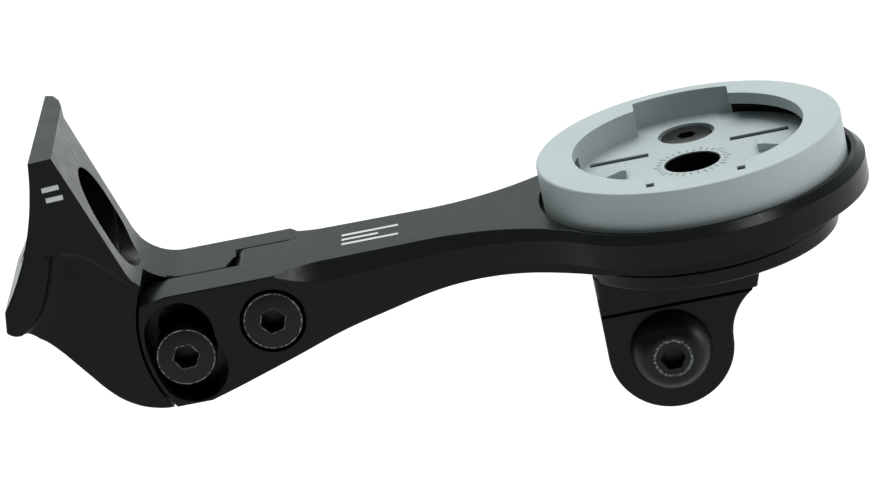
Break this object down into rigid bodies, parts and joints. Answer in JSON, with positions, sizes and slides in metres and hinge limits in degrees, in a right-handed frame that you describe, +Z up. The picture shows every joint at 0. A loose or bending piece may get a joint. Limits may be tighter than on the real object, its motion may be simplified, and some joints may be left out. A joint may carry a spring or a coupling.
{
  "type": "handlebar computer mount",
  "caption": "Out-front mount: a tilting arm with a twist-lock computer seat on top and prongs for a small camera beneath.",
  "frame": {"origin": "centre of the bolt slot, on the bracket's back face that lies against the stem", "axes": "+X forward along the arm, +Z up, square to the computer's seat, +Y to the side away from the screw heads"},
  "size_m": [0.1017, 0.04, 0.0452],
  "materials": {
    "black_anodised": "satin black anodised",
    "grey_moulded": "fine moulded",
    "black_oxide_steel": "black oxide"
  },
  "bodies": {
    "bracket": {"stem_bracket": "black_anodised", "tilt_screw": "black_oxide_steel", "lock_screw": "black_oxide_steel"},
    "arm": {"arm": "black_anodised", "computer_insert": "grey_moulded", "insert_screw_far": "black_oxide_steel", "insert_screw_near": "black_oxide_steel", "camera_adapter": "black_anodised", "camera_bolt": "black_oxide_steel", "camera_nut": "black_oxide_steel"}
  },
  "joints": [
    {"name": "arm_tilt", "type": "hinge", "parent": "bracket", "child": "arm", "pos_m": [0.0264, 0, -0.01385], "axis": [0, -1, 0], "range_deg": [-7, 12]}
  ]
}
